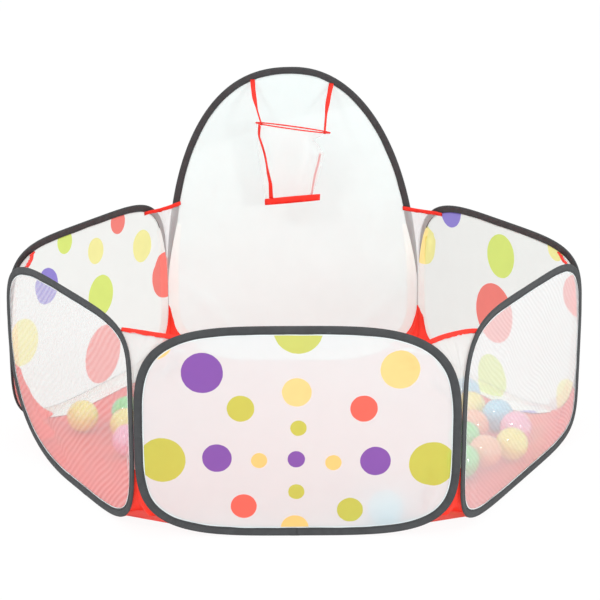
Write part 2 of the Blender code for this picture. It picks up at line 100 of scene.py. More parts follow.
# Edging tape: half of its section is depth in from the edge and height off the middle plane
EDGING_WIDTH = 0.016
PATH_SPACING = 0.004
LAP_LENGTH = 0.014
LAP_LIFT = 0.0005
TAPE_HALF_SECTION = (
    (0.0160, 0.00095), (0.0150, 0.00125), (0.0137, 0.00125), (0.0130, 0.00095), (0.0123, 0.00125), (0.0100, 0.00130),
    (0.0075, 0.00150), (0.0055, 0.00195), (0.0035, 0.00225), (0.0018, 0.00215), (0.0006, 0.00150),
)
STITCH_DEPTH = 0.013
STITCH_LEVEL = 0.00095
STITCH_PITCH = 0.0046
STITCH_LENGTH = 0.0032
STITCH_WIDTH = 0.0007
STITCH_HEIGHT = 0.0006
STITCH_FACES = ((0, 1, 5, 4), (1, 2, 6, 5), (2, 3, 7, 6), (3, 0, 4, 7), (3, 2, 1, 0), (4, 5, 6, 7))

# Depths in from the edge of a sheet's closely set rings, and the rings from there to its middle
SHEET_DEPTHS = (0.0100, 0.0150, 0.0175, 0.0200, 0.0235, 0.0280, 0.0340, 0.0420)
INNER_RINGS = 22
ARCH_INNER_RINGS = 26

# Gussets, and a height for the middle of each corner
CORNER_BEND_HEIGHT = 0.2
GUSSET_COLUMNS = 33
UPPER_ROWS = 44
LOWER_ROWS = 30
GUSSET_FOOT = 0.023
FRONT_LAP = 0.004
BINDING_SECTION = (
    (0.0019, -0.0085), (0.0022, -0.0050), (0.0020, -0.0015), (0.0013, 0.0004), (0.0, 0.0009),
    (-0.0013, 0.0004), (-0.0020, -0.0015), (-0.0022, -0.0050), (-0.0019, -0.0085),
)

# How far the corners' red cloth laps over each panel, by outline height
LOWER_LAPS = {
    ("back_left", "back"): ((0.023, 0.01), (0.06, 0.0096), (0.093, 0.0115), (0.125, 0.008), (0.134, 0.001)),
    ("back_left", "back_left"): ((0.023, 0.004), (0.134, 0.0)),
    ("back_right", "back_right"): ((0.023, 0.02), (0.06, 0.0155), (0.1, 0.018), (0.122, 0.01), (0.13, 0.001)),
    ("back_right", "back"): ((0.023, 0.009), (0.06, 0.008), (0.094, 0.0074), (0.13, 0.002)),
    ("left", "back_left"): ((0.023, 0.034), (0.05, 0.04), (0.092, 0.043), (0.142, 0.03), (0.165, 0.004)),
    ("left", "front_left"): ((0.023, 0.004), (0.165, 0.002)),
    ("right", "front_right"): ((0.023, 0.004), (0.1, 0.002)),
    ("right", "back_right"): ((0.023, 0.006), (0.033, 0.004), (0.067, 0.001), (0.1, 0.0)),
}
FRONT_LOWER_LAPS = ((0.023, 0.01), (0.06, 0.008), (0.13, 0.004))

# The cloth that covers the tapes on the inside of the back panels: uncovered width of tape, by outline height
UNCOVERED_TAPE = ((0.2, 0.0024), (0.23, 0.0048), (0.25, 0.007), (0.283, 0.011), (0.335, 0.0165))
FACING_TOP = 0.335
FACING_ROWS = 44
FACING_COLUMNS = 8
FACING_INNER = 0.027
FRONT_FACING_INNER = 0.0178
FACING_HEIGHTS = ((0.0078, 0.0042), (0.0178, 0.0020), (0.0270, 0.0012))

# Floor, and the feet of cloth that lap onto it
FLOOR_LEVEL = 0.0012
FLOOR_RINGS = 34
FLOOR_EDGE_OFF = 0.0034
FLOOR_LAPS = ((0.004, 0.0042), (0.009, 0.0036), (0.0162, 0.0022))
FOOT_WIDTH = 0.036
FOOT_START = 0.0052
FOOT_LAPS = ((0.0175, 0.0024), (0.009, 0.0036), (0.003, 0.0046))
FOOT_SHARES = (0.15, 0.32, 0.55, 0.78, 1.0)

# Basketball hoop
RIM_RADIUS = 0.085
RIM_TUBE_RADIUS = 0.0026
CASING_RADIUS = 0.0015
RIM_HEIGHT = 0.578
RIM_FRONT_RISE = math.radians(9)
RIM_ROLL = math.radians(8)
NET_HEIGHT = 0.161
NET_ALLOWANCE = 0.02
HEM_HEIGHT = 0.0145
HEM_SHIFT = -0.0015
NET_HEM_HALF_WIDTH = 0.0625
NET_HEM_HALF_DEPTH = 0.02
HEM_ROLL = 0.09
HEM_FRONT_RISE = 0.28
HEM_SECTION = (
    (0.0010, 0.0), (0.0014, 0.003), (0.0013, 0.010), (0.0008, HEM_HEIGHT),
    (-0.0008, HEM_HEIGHT), (-0.0013, 0.010), (-0.0014, 0.003), (-0.0010, 0.0),
)
NET_SEAM_ANGLES = ((0.0, 27), (0.15, 17), (0.4, 29), (0.6, 38), (0.8, 43), (1.0, 40))
NET_RIGHT_DENTS = (
    (0.0, 0.013), (0.03, 0.018), (0.095, 0.035), (0.2, 0.021), (0.34, 0.008), (0.7, 0.012), (1.0, 0.016),
)
STRAP_WIDTH = 0.011
STRAP_TOP_HALF_SPAN = 0.093
STRAP_TOP_MARGIN = 0.0052
STRAP_TWIST = math.radians(56)
STRAP_RIM_ANGLES = {-1: math.radians(30), 1: math.radians(34)}
LOOP_SECTION = ((-0.0028, 0.0006), (-0.0026, 0.0010), (0.0026, 0.0010), (0.0028, 0.0006))

BALL_RADIUS = 0.034

# Camera, fitted to the photograph
CAMERA_DISTANCE = 3.5461
CAMERA_HEIGHT = 1.3715
CAMERA_SIDE = 0.0019
CAMERA_PITCH = 0.2936
CAMERA_YAW = -0.0024
OBJECT_TURN = 0.0102
FOCAL_PIXELS = 1775.07
IMAGE_PIXELS = 600
SENSOR_WIDTH = 36.0

# Lamps: place, aim, size and power in watts
LAMPS = {
    "key": ((-1.6, -2.0, 2.25), (0, 0, 0.2), 0.46, 19),
    "fill": ((1.9, -2.6, 1.25), (0, 0, 0.2), 0.50, 26),
    "front": ((0.2, -4.2, 1.3), (0, 0.4, 0.45), 1.2, 4),
}
WORLD_STRENGTH = 1.23
GROUND_WHITE_SHARE = 0.93
GROUND_HALF_SIZE = 40.0

# Printed dots of each panel: colour, then across, up and radius in mm
DOTS = {
    "front": (
        ("green", 1, 401, 45), ("purple", -173, 320, 38), ("yellow", 185, 325, 36), ("yellow", -2, 283, 27),
        ("green", -104, 252, 25), ("red", 120, 251, 25), ("green", 1, 214, 15), ("purple", -148, 156, 27),
        ("amber", -71, 151, 15), ("purple", -3, 153, 16), ("amber", 65, 146, 15), ("purple", 142, 149, 28),
        ("green", -248.5, 152, 43), ("green", 246.5, 142, 43), ("green", -3, 89, 15), ("red", -100, 60, 24),
        ("green", 96, 52, 24), ("amber", -6, 15, 26), ("yellow", -259.5, 380, 34.5),
    ),
    "back_left": (
        ("green", 94, 379, 26.5), ("yellow", -15, 333, 29.5), ("red", -106, 379, 27.6), ("yellow", -197, 301.5, 38),
        ("red", -292, 210, 56), ("green", -26, 227, 47), ("violet", 167, 298, 39.5), ("yellow", 256, 196, 51),
        ("red", -30, 87, 68),
    ),
    "back_right": (
        ("violet", 176, 390, 41), ("yellow", 282, 284, 48), ("green", -20, 326, 49), ("red", -4, 190, 68),
        ("green", -1, 36, 54), ("yellow", -208, 388, 28), ("red", -283, 302, 45), ("yellow", -276, 68, 45),
        ("violet", -171, -20, 26),
    ),
}

# Soft folds of each panel, in mm: across and up of the three points that each follows, its height and its half width
CREASES = {
    "front": (
        (-205, 366, -219, 330, -252, 298, 4, 6.5), (-226, 373, -240, 335, -268, 310, -3, 6),
        (183, 364, 206, 340, 212, 312, 3.6, 6), (222, 330, 252, 287, 290, 250, 3.2, 6),
        (258, 150, 234, 100, 226, 25, 3.4, 6), (268, 125, 247, 74, 238, 30, -2.6, 6),
        (-274, 115, -254, 73, -222, 40, 2.6, 6.5),
    ),
    "front_left": (
        (258, 200, 262, 120, 262, 45, 4.5, 6), (275, 180, 279, 110, 276, 60, -3, 5),
        (160, 265, 215, 240, 282, 215, 2.8, 10), (-150, 120, -80, 60, 0, 30, 4, 12),
        (-230, 190, -170, 120, -120, 75, -3, 10),
    ),
    "front_right": (
        (-279, 125, -257, 74, -236, 22, 4.5, 6), (-262, 140, -238, 85, -214, 25, -3, 6),
        (-288, 180, -270, 110, -258, 60, -2.2, 5), (262, 150, 236, 85, 190, 40, 4, 9),
    ),
    "back_left": (
        (-270, 330, -240, 280, -262, 200, 3, 9), (200, 360, 180, 310, 240, 240, 2.6, 10),
    ),
    "back_right": (
        (290, 330, 262, 290, 275, 240, 4, 7), (255, 350, 240, 300, 262, 230, -3, 8),
        (-100, 380, -90, 300, -120, 200, 2.2, 12),
    ),
    "back": (
        (280, 200, 200, 130, 120, 40, 3, 12), (-280, 200, -210, 120, -120, 40, 3, 12),
        (-200, 420, -170, 300, -180, 200, 2.6, 20), (180, 480, 190, 340, 160, 220, -2.6, 20),
    ),
}


# Colours

def linear(red, green, blue):
    """A colour written in 8-bit sRGB, as linear light."""
    values = []
    for channel in (red, green, blue):
        value = channel / 255
        values.append(value / 12.92 if value <= 0.04045 else ((value + 0.055) / 1.055) ** 2.4)
    return (*values, 1.0)


def shade(colour, factor):
    return (*[channel * factor for channel in colour[:3]], 1.0)


CHARCOAL = linear(53, 55, 57)
# Painted light: these whites stand for one white cloth, sheer or net. Each has less red than green and blue to cancel
# the red light that the floor throws back onto it. Each is made lighter where it hangs in shade (back, sides, linings,
# feet, net, back sheer), or darker where the key lamp lights it strongly (mesh).
WHITE_CLOTH = linear(228, 238, 239)
WHITE_BACK = linear(244, 255, 254)
WHITE_SIDE = linear(252, 255, 252)
WHITE_LINING = linear(237, 254, 252)
WHITE_FOOT = linear(247, 252, 248)
WHITE_MESH = linear(232, 239, 241)
WHITE_NET = linear(246, 255, 255)
FRONT_SHEER = linear(221, 228, 227)
BACK_SHEER = linear(241, 253, 254)
RED = linear(252, 58, 40)
RED_TAPE = linear(238, 50, 38)
THREAD = linear(48, 50, 53)
STEEL = linear(150, 152, 156)
DOT_COLOURS = {
    "purple": linear(125, 92, 187),
    "green": linear(204, 215, 93),
    "yellow": linear(255, 229, 150),
    "amber": linear(255, 222, 134),
    "red": linear(255, 114, 98),
}
# Painted light in part: the back panels' inks are paler than the front's because their print is seen through the cloth,
# and lighter still to offset the shade inside the pit.
BACK_DOT_COLOURS = {
    "violet": linear(152, 138, 224),
    "green": linear(228, 246, 126),
    "yellow": linear(255, 250, 166),
    "red": linear(255, 134, 124),
}
BALL_COLOURS = {
    "yellow": linear(255, 246, 78),
    "lemon": linear(255, 248, 86),
    "green": linear(104, 236, 92),
    "mint": linear(120, 244, 124),
    "pink": linear(255, 170, 212),
    "blue": linear(150, 230, 255),
    "sky": linear(160, 230, 255),
    "orange": linear(255, 176, 104),
    "apricot": linear(255, 190, 120),
}


# Meshes

def add_object(name, data):
    item = bpy.data.objects.new(name, data)
    bpy.context.scene.collection.objects.link(item)
    return item


def add_mesh(name, points, faces, look, uvs=None, matrix=None, smooth=True, body=None, node=None):
    """A mesh object with a look, the body that carries it and the node that it stands for.

    The uvs are one pair for each point, in metres along and across the piece.
    """
    mesh = bpy.data.meshes.new(name)
    mesh.from_pydata([tuple(map(float, point)) for point in points], [], faces)
    if uvs is not None:
        layer = mesh.uv_layers.new(name="along_across")
        corners = np.empty(len(mesh.loops), np.int32)
        mesh.loops.foreach_get("vertex_index", corners)
        layer.data.foreach_set("uv", np.asarray(uvs, np.float32)[corners].ravel())
    material, slot = LOOKS[look]
    mesh.materials.append(material)
    if smooth:
        mesh.shade_smooth()
    item = add_object(name, mesh)
    if matrix is not None:
        item.matrix_world = matrix
    if body:
        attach(item, body)
    if node:
        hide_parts(node)
    return item


def grid_faces(rows, columns, closed_rows=False, closed_columns=False):
    """Quads between the points of a grid that is stored row by row."""
    faces = []
    for i in range(rows if closed_rows else rows - 1):
        a = i * columns
        b = (i + 1) % rows * columns
        for j in range(columns if closed_columns else columns - 1):
            k = (j + 1) % columns
            faces.append((a + j, b + j, b + k, a + k))
    return faces


def add_grid(name, points, columns, look, closed=(False, False), capped=False, **options):
    """A mesh of quads between rows of points, closed from the last row or column to the first if asked."""
    faces = grid_faces(len(points) // columns, columns, *closed)
    if capped:
        faces += [tuple(range(columns)), tuple(reversed(range(len(points) - columns, len(points))))]
    return add_mesh(name, points, faces, look, **options)


def sweep(name, steps, section, point_at, look, pitches, **options):
    """A closed ring with a row of points at each step, one for each part of its section, and evenly spaced uvs."""
    points = [point_at(step, *part) for step in steps for part in section]
    uvs = [(i * pitches[0], j * pitches[1]) for i in range(len(steps)) for j in range(len(section))]
    return add_grid(name, points, len(section), look, (True, True), uvs=uvs, **options)


def ripple(x, y, z=0.0):
    """Smooth noise from -1 to 1 at a place counted in waves."""
    return noise.noise(Vector((x, y, z)))


def circle(count):
    """Evenly spaced angles once round."""
    return [2 * math.pi * i / count for i in range(count)]


def clamp(value):
    return min(max(value, 0.0), 1.0)


def look_up(value, table):
    """A value between the rows of a table of pairs."""
    return float(np.interp(value, *zip(*table)))


def surface_area(item):
    return sum(face.area for face in item.data.polygons)


# Outlines

def power(values, exponent):
    return np.sign(values) * np.abs(values) ** exponent


def panel_height(panel):
    return ARCH_HEIGHT if panel == "back" else PANEL_HEIGHT


def side_curve(panel, side):
    """Fine points up a panel's right (1) or left (-1) side from its foot to its top. Both have x to the right."""
    top_right, top_left, bottom_left, bottom_right = PANELS[panel].squareness
    top, bottom = (top_right, bottom_right) if side > 0 else (top_left, bottom_left)
    widest = panel_height(panel) * PANELS[panel].widest_share
    angles = np.pi * (np.linspace(0, 1, 1201) - 0.5)
    exponent = np.where(angles >= 0, 2 / top, 2 / bottom)
    reach = np.where(angles >= 0, panel_height(panel) - widest, widest)
    across = PANEL_HALF_WIDTH * power(np.cos(angles), exponent)
    return np.stack([across, widest + reach * power(np.sin(angles), exponent)], axis=1)


def distances(points):
    """The length of a row of points up to each of them."""
    return np.concatenate([[0], np.cumsum(np.linalg.norm(np.diff(points, axis=0), axis=1))])


def fine_outline(panel, spacing):
    """Evenly spaced points anticlockwise from the foot, their unit directions into the panel, and the spacing."""
    left = side_curve(panel, -1)[::-1] * (-1, 1)
    points = np.concatenate([side_curve(panel, 1), left[1:-1]])
    closed = np.concatenate([points, points[:1]])
    reached = distances(closed)
    count = int(round(reached[-1] / spacing))
    wanted = np.arange(count) * reached[-1] / count
    even = np.stack([np.interp(wanted, reached, closed[:, i]) for i in range(2)], axis=1)
    along = np.roll(even, -1, axis=0) - np.roll(even, 1, axis=0)
    normals = np.stack([-along[:, 1], along[:, 0]], axis=1)
    return even, normals / np.linalg.norm(normals, axis=1)[:, None], reached[-1] / count


def around(angle):
    """The level direction at an angle from +X."""
    return Vector((math.cos(angle), math.sin(angle), 0))


def direction(degrees):
    return around(math.radians(degrees))


def panel_matrix(panel):
    facing = math.radians(PANELS[panel].facing)
    return Matrix.Translation(around(facing) * APOTHEM) @ Matrix.Rotation(facing + math.pi / 2, 4, "Z")


def edge_table(panel, side):
    """Heights, reaches and inward directions up a panel's right (1) or left (-1) edge."""
    curve = side_curve(panel, side)
    along = np.gradient(curve, axis=0)
    along /= np.linalg.norm(along, axis=1)[:, None]
    return curve[:, 1], curve[:, 0], -along[:, 1], along[:, 0]


EDGES = {(panel, side): edge_table(panel, side) for panel in PANELS for side in (-1, 1)}
MATRICES = {panel: panel_matrix(panel) for panel in PANELS}


def edge_values(panel, side, height):
    """A panel's reach at an outline height, and the direction inwards from there, across and up."""
    return [float(np.interp(height, EDGES[panel, side][0], values)) for values in EDGES[panel, side][1:]]


def edge_at(panel, side, height, depth, off):
    """The place at a depth in from a panel's edge, where its outline is at a height, and off its middle plane."""
    reach, across, up = edge_values(panel, side, height)
    return MATRICES[panel] @ Vector((side * (reach + across * depth), off, height + up * depth))


def panel_body(panel):
    return f"{panel}_panel"


def panel_seed(panel, factor):
    """Where a panel's unevenness starts in the noise."""
    return list(PANELS).index(panel) * factor


# Materials

class Nodes:
    """The nodes of a material or a world. An input is set to a value, or linked to it where it is a socket."""

    def __init__(self, owner):
        owner.use_nodes = True
        self.owner = owner
        self.tree = owner.node_tree
        self.shader = self.tree.nodes.get("Principled BSDF")

    def fill(self, node, inputs):
        for key, value in inputs.items():
            if isinstance(value, bpy.types.NodeSocket):
                self.tree.links.new(value, node.inputs[key])
            else:
                node.inputs[key].default_value = value

    def add(self, kind, output, inputs=None, **settings):
        """The output of a new node."""
        node = self.tree.nodes.new(f"ShaderNode{kind}")
        for key, value in settings.items():
            setattr(node, key, value)
        self.fill(node, inputs or {})
        return node.outputs[output]

    def place(self):
        return self.add("TexCoord", "Object")

    def flat_place(self):
        return self.add("UVMap", "UV")

    def math(self, operation, *values, clamped=False):
        return self.add("Math", 0, dict(enumerate(values)), operation=operation, use_clamp=clamped)

    def vector_math(self, operation, first, second):
        return self.add("VectorMath", "Value", {0: first, 1: second}, operation=operation)

    def ramp(self, value, low, high, low_value, high_value):
        return self.add("MapRange", "Result", {"Value": value, "From Min": low, "From Max": high,
                                               "To Min": low_value, "To Max": high_value})

    def noise(self, place, scale, detail, distortion=0.0):
        return self.add("TexNoise", "Fac", {"Vector": place, "Scale": scale, "Detail": detail,
                                            "Distortion": distortion})

    def wave(self, place, direction, pitch, distortion, detail_scale=1.0):
        return self.add("TexWave", "Fac", {"Vector": place, "Scale": 0.3142 / pitch, "Distortion": distortion,
                                           "Detail Scale": detail_scale},
                        wave_type="BANDS", bands_direction=direction)

    def weave(self, place, pitch, distortion):
        """Warp and weft threads as a height from 0 to 1."""
        return self.math("MULTIPLY", *[self.wave(place, direction, pitch, distortion, 2.0) for direction in "XY"])

    def tint(self, factor, dark, light):
        """A colour between two, picked by a factor from 0 to 1."""
        return self.add("Mix", 2, {0: factor, 6: dark, 7: light}, data_type="RGBA")

    def bump(self, height, distance):
        return self.add("Bump", "Normal", {"Height": height, "Distance": distance, "Strength": 1.0})

    def mix(self, share, first, second):
        return self.add("MixShader", 0, {0: share, 1: first, 2: second})

    def paint(self, colour, **values):
        """Sets the surface's colour and its other values. A name's underscores stand for spaces."""
        self.fill(self.shader, {"Base Color": colour, **{key.replace("_", " "): values[key] for key in values}})
        return self.owner

    def see_through(self, colour, glow, opening):
        """Mixes the surface with light that passes through it, and with holes."""
        inputs = {"Color": colour}
        normal = self.shader.inputs["Normal"]
        if normal.is_linked:
            inputs["Normal"] = normal.links[0].from_socket
        lit = self.mix(glow, self.shader.outputs[0], self.add("BsdfTranslucent", 0, inputs))
        holes = self.mix(opening, lit, self.add("BsdfTransparent", 0))
        self.fill(self.tree.nodes["Material Output"], {"Surface": holes})
        return self.owner

    def camera_sees(self):
        """1 for rays from the camera, off gloss or through cloth, which show the plain white background."""
        path = self.tree.nodes.new("ShaderNodeLightPath").outputs
        glossy = self.math("MAXIMUM", path["Is Camera Ray"], path["Is Glossy Ray"])
        return self.math("MAXIMUM", glossy, path["Is Transmission Ray"])


def material_nodes(name):
    return Nodes(bpy.data.materials.new(name))


def tape_material(name, colour, rib_pitch, sheen, gloss):
    """Ribbed tape with a slight sheen, its colour lighter on its ribs and in cloudy patches."""
    nodes = material_nodes(name)
    flat = nodes.flat_place()
    rib = nodes.wave(flat, "DIAGONAL", rib_pitch, 0.6)
    # Lighter tone on the ribs and in cloudy patches.
    rib_and_cloud_tone = nodes.math("MULTIPLY_ADD", rib, 0.35, nodes.noise(flat, 60, 4))
    tinted = nodes.tint(nodes.ramp(rib_and_cloud_tone, 0.35, 0.95, 0, 1), shade(colour, 0.78), shade(colour, 1.25))
    return nodes.paint(tinted, Normal=nodes.bump(rib, 0.0003), Roughness=0.68, Specular_IOR_Level=gloss,
                       Sheen_Weight=sheen, Sheen_Roughness=0.4, Sheen_Tint=shade(colour, 3.0))


def cloth_material(name, colour, glow, opening, dots=(), inks=None):
    """Thin woven polyester with a soft gleam, with printed dots if there are any. It is drawn on the flat cloth."""
    nodes = material_nodes(name)
    flat = nodes.flat_place()
    cloud = nodes.noise(nodes.place(), 18, 5)
    current = nodes.tint(cloud, shade(colour, 0.96), shade(colour, 1.0))
    wobble = nodes.ramp(nodes.noise(flat, 90, 3), 0, 1, -0.0007, 0.0007)
    for ink, *sizes in dots:
        across, up, radius = [size / 1000 for size in sizes]
        gap = nodes.math("ADD", nodes.vector_math("DISTANCE", flat, (across, up, 0)), wobble)
        inked = nodes.tint(cloud, shade(inks[ink], 0.93), shade(inks[ink], 1.04))
        current = nodes.tint(nodes.ramp(gap, radius - 0.0004, radius + 0.0004, 1, 0), current, inked)
    nodes.paint(current, Normal=nodes.bump(nodes.weave(flat, 0.0011, 0.4), 0.00012), Roughness=0.55,
                Sheen_Weight=0.2, Sheen_Roughness=0.5, Specular_IOR_Level=0.3)
    return nodes.see_through(current, glow, opening)


def mesh_material(name, colour, veil, stripes, lean, pitch=0.012):
    """Fine net whose threads veil what lies behind, with the watered bands that overlapping threads make."""
    nodes = material_nodes(name)
    place = nodes.place()
    flat, upright = [nodes.add("SeparateXYZ", axis, {0: place}) for axis in "XZ"]
    plane = nodes.add("CombineXYZ", 0, {"X": flat, "Y": upright})
    drift = nodes.math("MULTIPLY", nodes.noise(place, 7, 1), 0.036)
    phase = nodes.math("ADD", nodes.vector_math("DOT_PRODUCT", plane, (lean * 0.66, -0.75, 0)), drift)
    band = nodes.math("SINE", nodes.math("MULTIPLY", phase, 2 * math.pi / pitch))
    strength = nodes.ramp(nodes.noise(place, 6, 2), 0.36, 0.6, 0.15 * stripes, 0.5 * stripes)
    watered = nodes.math("MULTIPLY_ADD", band, strength, 1 - veil)
    fine = nodes.ramp(nodes.weave(plane, 0.0014, 0.2), 0, 1, 0.03, -0.03)
    nodes.paint(colour, Roughness=0.5, Sheen_Weight=0.2)
    return nodes.see_through(colour, 0.45, nodes.math("ADD", watered, fine, clamped=True))


def red_material(name, base, glow):
    """Bright red nylon taffeta with fine creases."""
    nodes = material_nodes(name)
    place = nodes.place()
    colour = nodes.tint(nodes.noise(place, 30, 6), shade(base, 0.86), shade(base, 1.08))
    nodes.paint(colour, Normal=nodes.bump(nodes.noise(place, 55, 8, 1.2), 0.0012), Roughness=0.5, Sheen_Weight=0.06,
                Specular_IOR_Level=0.3)
    return nodes.see_through(colour, glow, 0.0)


def thread_material(name, colour):
    nodes = material_nodes(name)
    twist = nodes.noise(nodes.place(), 900, 2)
    return nodes.paint(nodes.tint(twist, shade(colour, 0.7), shade(colour, 1.3)), Normal=nodes.bump(twist, 0.0002),
                       Roughness=0.6)


def ball_material(name, colour):
    """Thin glossy polyethylene that lets some light through, with faint swirls from its moulding."""
    nodes = material_nodes(name)
    place = nodes.place()
    current = nodes.tint(nodes.noise(place, 24, 3, 0.8), shade(colour, 0.93), shade(colour, 1.05))
    nodes.paint(current, Normal=nodes.bump(nodes.noise(place, 260, 2), 0.00004), Roughness=0.1, IOR=1.6,
                Specular_IOR_Level=1.0, Coat_Weight=1.0, Coat_IOR=1.7, Coat_Roughness=0.03)
    return nodes.see_through(current, 0.35, 0.0)


def steel_material():
    nodes = material_nodes("spring_wire")
    drawn = nodes.tint(nodes.noise(nodes.place(), 400, 3), shade(STEEL, 0.8), STEEL)
    return nodes.paint(drawn, Metallic=1.0, Roughness=0.3)


def make_looks():
    """Each look's material and the slot that it shows."""
    slots = {
        "edging": {"edging": tape_material("edging_tape", CHARCOAL, 0.0016, 0.25, 0.5)},
        None: {"thread": thread_material("dark_thread", THREAD)},
        "plain_cloth": {
            "hem": cloth_material("hem_cloth", WHITE_CLOTH, 0.3, 0.0),
            "back": cloth_material("plain_cloth", WHITE_BACK, 0.58, 0.03),
            "back_lining": cloth_material("plain_lining", WHITE_LINING, 0.03, 0.0),
            "back_foot": cloth_material("plain_foot", WHITE_FOOT, 0.03, 0.0),
        },
        "mesh_cloth": {
            "front_left": mesh_material("left_mesh_cloth", WHITE_MESH, 0.42, 0.18, 1),
            "front_right": mesh_material("right_mesh_cloth", WHITE_MESH, 0.55, 0.09, -1, 0.009),
            "front_sheer": mesh_material("front_sheer_cloth", FRONT_SHEER, 0.74, 0.0, 1),
            "back_sheer": mesh_material("back_sheer_cloth", BACK_SHEER, 0.62, 0.0, 1),
            "net": mesh_material("net_cloth", WHITE_NET, 0.46, 0.0, 1),
        },
        "red_cloth": {
            "red": red_material("red_cloth", RED, 0.2),
            "red_tape": tape_material("red_tape", RED_TAPE, 0.0014, 0.05, 0.25),
        },
        "spring_steel": {"steel": steel_material()},
        "dotted_cloth": {},
    }
    for panel in DOTTED_PANELS:
        inks = DOT_COLOURS if panel == "front" else BACK_DOT_COLOURS
        # Painted light: the back panels take lighter whites and inks than the front, to offset the shade they hang in.
        if panel == "front":
            looks = (WHITE_CLOTH, 0.5, 0.09), (WHITE_CLOTH, 0.03, 0.0), (WHITE_CLOTH, 0.03, 0.0)
        else:
            looks = (WHITE_SIDE, 0.88, 0.03), (WHITE_LINING, 0.03, 0.0), (WHITE_FOOT, 0.03, 0.0)
        for look, key, word in zip(looks, ("", "_lining", "_foot"), ("cloth", "lining", "foot")):
            made = cloth_material(f"{panel}_dotted_{word}", *look, DOTS[panel], inks)
            slots["dotted_cloth"][panel + key] = made
    for name, colour in BALL_COLOURS.items():
        slots[f"ball_{name}"] = {name: ball_material(f"ball_{name}", colour)}
    return {name: (material, slot) for slot, group in slots.items() for name, material in group.items()}


LOOKS = make_looks()


# Panels

def tape_section(lift):
    """The tape's section as depth in from the edge and height off the middle plane, once round."""
    upper = [(depth, height + lift) for depth, height in TAPE_HALF_SECTION]
    return upper + [(0.0, 0.0)] + [(depth, -height) for depth, height in reversed(upper)]


def build_edging(panel):
    """Folded tape over the wire hoop, with the small unevenness of sewing."""
    path, normals, spacing = fine_outline(panel, PATH_SPACING)
    seed = panel_seed(panel, 7.3)
    lap = np.linalg.norm(path - np.array(PANELS[panel].lap_place), axis=1) < LAP_LENGTH / 2
    points, uvs = [], []
    for i, (place, normal) in enumerate(zip(path, normals)):
        along = i * spacing
        width = 1 + 0.045 * ripple(along * 22, seed)
        inward = 0.0007 * ripple(along * 16, seed + 3.1)
        section = tape_section(LAP_LIFT if lap[i] else 0.0)
        for j, (depth, height) in enumerate(section):
            side = 1 if height > 0 else -1
            belly = math.sin(math.pi * min(depth / EDGING_WIDTH, 1.0))
            pucker = 0.00042 * belly * ripple(along * 95 + depth * 130 * side, seed + side, depth * 90)
            x, z = place + normal * (depth * width + inward * (depth / EDGING_WIDTH))
            points.append((x, height + pucker, z))
            uvs.append((along, j * 0.0016))
    add_grid(f"{panel}_tape", points, len(section), "edging", (True, True), uvs=uvs, matrix=MATRICES[panel],
             body=panel_body(panel), node=f"{panel}_edging")


def build_tape_seams(panel):
    """Both lines of stitching through the tape's leaves: small bars that lean a little to either side."""
    path, normals = [np.concatenate([values, values[:1]]) for values in fine_outline(panel, PATH_SPACING)[:2]]
    for side, word in ((-1, "outer"), (1, "inner")):
        line = np.insert(path + normals * STITCH_DEPTH, 1, side * STITCH_LEVEL, axis=1)
        across = np.insert(normals, 1, 0.0, axis=1)
        off = np.array((0.0, side, 0.0))
        reached = distances(line)
        points, faces = [], []
        for k, start in enumerate(np.arange(0, reached[-1] - STITCH_LENGTH, STITCH_PITCH)):
            lean = 0.12 * STITCH_WIDTH * ((k % 3) - 1)
            for share, end in ((start, -1), (start + STITCH_LENGTH, 1)):
                place, width = [np.array([np.interp(share, reached, values[:, i]) for i in range(3)])
                                for values in (line, across)]
                place = place + width * lean * end
                half = width * STITCH_WIDTH / 2
                points += [place - half, place + half, place + half * 0.6 + off * STITCH_HEIGHT,
                           place - half * 0.6 + off * STITCH_HEIGHT]
            first = len(points) - 8
            faces += [tuple(first + corner for corner in face) for face in STITCH_FACES]
        add_mesh(f"{panel}_{word}_seam", points, faces, "thread", matrix=MATRICES[panel], smooth=False,
                 body=panel_body(panel))


def crease_height(panel, x, z):
    """Sum of the panel's soft folds at a place: each fades at its two ends and to its sides."""
    height = np.zeros(len(x))
    for crease in CREASES[panel]:
        line = np.array(crease[:6]).reshape(3, 2) / 1000
        rise, half_width = crease[6] / 1000, crease[7] / 1000
        nearest = np.full(len(x), 9.0)
        share = np.zeros(len(x))
        for i, (start, end) in enumerate(zip(line, line[1:])):
            run = end - start
            t = np.clip(((x - start[0]) * run[0] + (z - start[1]) * run[1]) / (run @ run), 0, 1)
            gap = np.hypot(x - start[0] - t * run[0], z - start[1] - t * run[1])
            share = np.where(gap < nearest, (i + t) / (len(line) - 1), share)
            nearest = np.minimum(nearest, gap)
        height += 1.5 * rise * np.exp(-(nearest / half_width) ** 2) * np.sin(np.pi * np.clip(share, 0.04, 0.96)) ** 0.6
    return height


